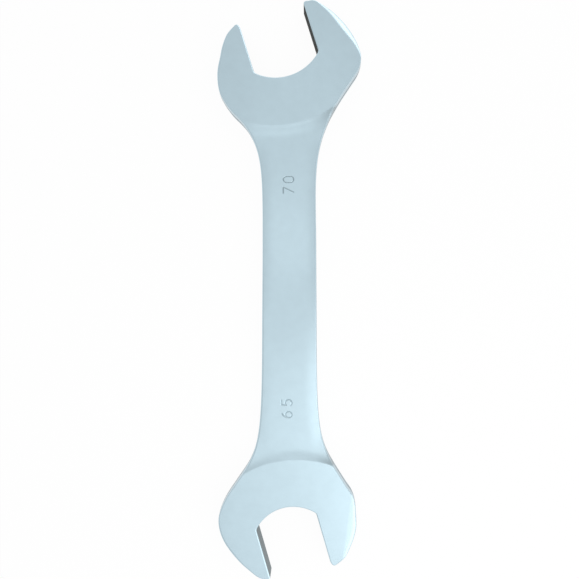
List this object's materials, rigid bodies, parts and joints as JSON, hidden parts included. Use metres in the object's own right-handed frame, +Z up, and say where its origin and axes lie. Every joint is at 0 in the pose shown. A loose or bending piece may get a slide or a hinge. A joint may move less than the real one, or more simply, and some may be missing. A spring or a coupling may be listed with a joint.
{
  "type": "open end wrench",
  "caption": "Double open end wrench: flat ground heads with leaning U-shaped jaws for 70 mm and 65 mm nuts, joined by a thinner, slightly crowned shank",
  "frame": {"origin": "under the middle of the wrench's bounding box, on the surface that it lies on", "axes": "Y along the shank with the 70 mm jaw at +Y, X across the shank, Z up through the thickness"},
  "size_m": [0.151, 0.602, 0.02],
  "materials": {
    "satin_chrome": "satin chrome plate on forged and ground steel, bare machined steel in the jaws"
  },
  "bodies": {
    "root": {"wrench_forging": "satin_chrome"}
  },
  "joints": []
}
